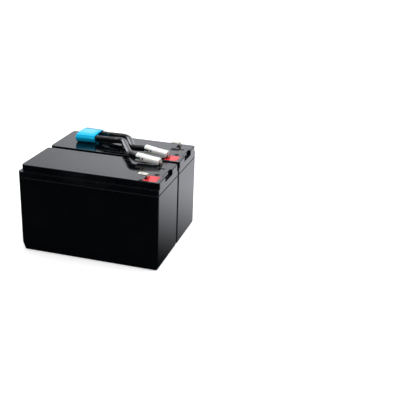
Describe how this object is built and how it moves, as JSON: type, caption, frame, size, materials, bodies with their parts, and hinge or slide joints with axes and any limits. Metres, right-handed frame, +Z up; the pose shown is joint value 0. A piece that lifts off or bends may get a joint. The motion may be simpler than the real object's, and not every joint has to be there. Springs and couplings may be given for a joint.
{
  "type": "replacement battery cartridge",
  "caption": "Two sealed lead-acid blocks taped side by side, joined to a two-pole plug by two short cables, that slide into a backup power supply as its replaceable battery.",
  "frame": {"origin": "middle of the underside, between the two blocks", "axes": "+X along the blocks towards the terminal end, +Y from the front block to the rear block that carries the plug, +Z up through the lids"},
  "size_m": [0.151, 0.1308, 0.1061],
  "materials": {
    "case_plastic": "black ABS, glossy moulded faces",
    "lid_plastic": "black ABS, mirror-glossy moulded top",
    "valve_rubber": "matt black rubber",
    "red_resin": "glossy red resin",
    "black_resin": "glossy black resin",
    "tinned_brass": "tin-plated, satin",
    "cast_lead": "dull cast lead",
    "plates_and_glass_mat": "pressed lead plates and white glass mat",
    "foam": "double-sided foam tape",
    "blue_plastic": "glossy cyan-blue polycarbonate",
    "silver_plate": "silver-plated copper",
    "cable_jacket": "glossy black PVC jacket",
    "nylon": "natural white nylon"
  },
  "bodies": {
    "root": {"front_case": "case_plastic", "front_lid": "lid_plastic", "front_vent_cover": "lid_plastic", "front_vent_valves": "valve_rubber", "front_positive_seal": "red_resin", "front_negative_seal": "black_resin", "front_positive_tab": "tinned_brass", "front_negative_tab": "tinned_brass", "front_positive_pillar": "cast_lead", "front_negative_pillar": "cast_lead", "front_plate_pack_1": "plates_and_glass_mat", "front_plate_pack_2": "plates_and_glass_mat", "front_plate_pack_3": "plates_and_glass_mat", "front_plate_pack_4": "plates_and_glass_mat", "front_plate_pack_5": "plates_and_glass_mat", "front_plate_pack_6": "plates_and_glass_mat", "front_cell_link_1": "cast_lead", "front_cell_link_2": "cast_lead", "front_cell_link_3": "cast_lead", "front_cell_link_4": "cast_lead", "front_cell_link_5": "cast_lead", "rear_case": "case_plastic", "rear_lid": "lid_plastic", "rear_vent_cover": "lid_plastic", "rear_vent_valves": "valve_rubber", "rear_positive_seal": "red_resin", "rear_negative_seal": "black_resin", "rear_positive_tab": "tinned_brass", "rear_negative_tab": "tinned_brass", "rear_positive_pillar": "cast_lead", "rear_negative_pillar": "cast_lead", "rear_plate_pack_1": "plates_and_glass_mat", "rear_plate_pack_2": "plates_and_glass_mat", "rear_plate_pack_3": "plates_and_glass_mat", "rear_plate_pack_4": "plates_and_glass_mat", "rear_plate_pack_5": "plates_and_glass_mat", "rear_plate_pack_6": "plates_and_glass_mat", "rear_cell_link_1": "cast_lead", "rear_cell_link_2": "cast_lead", "rear_cell_link_3": "cast_lead", "rear_cell_link_4": "cast_lead", "rear_cell_link_5": "cast_lead", "foam_tape": "foam", "plug_housing": "blue_plastic", "plug_negative_contact": "silver_plate", "plug_positive_contact": "silver_plate", "negative_cable": "cable_jacket", "positive_cable": "cable_jacket", "negative_receptacle": "tinned_brass", "positive_receptacle": "tinned_brass", "negative_sleeve": "nylon", "positive_sleeve": "nylon"}
  },
  "joints": []
}
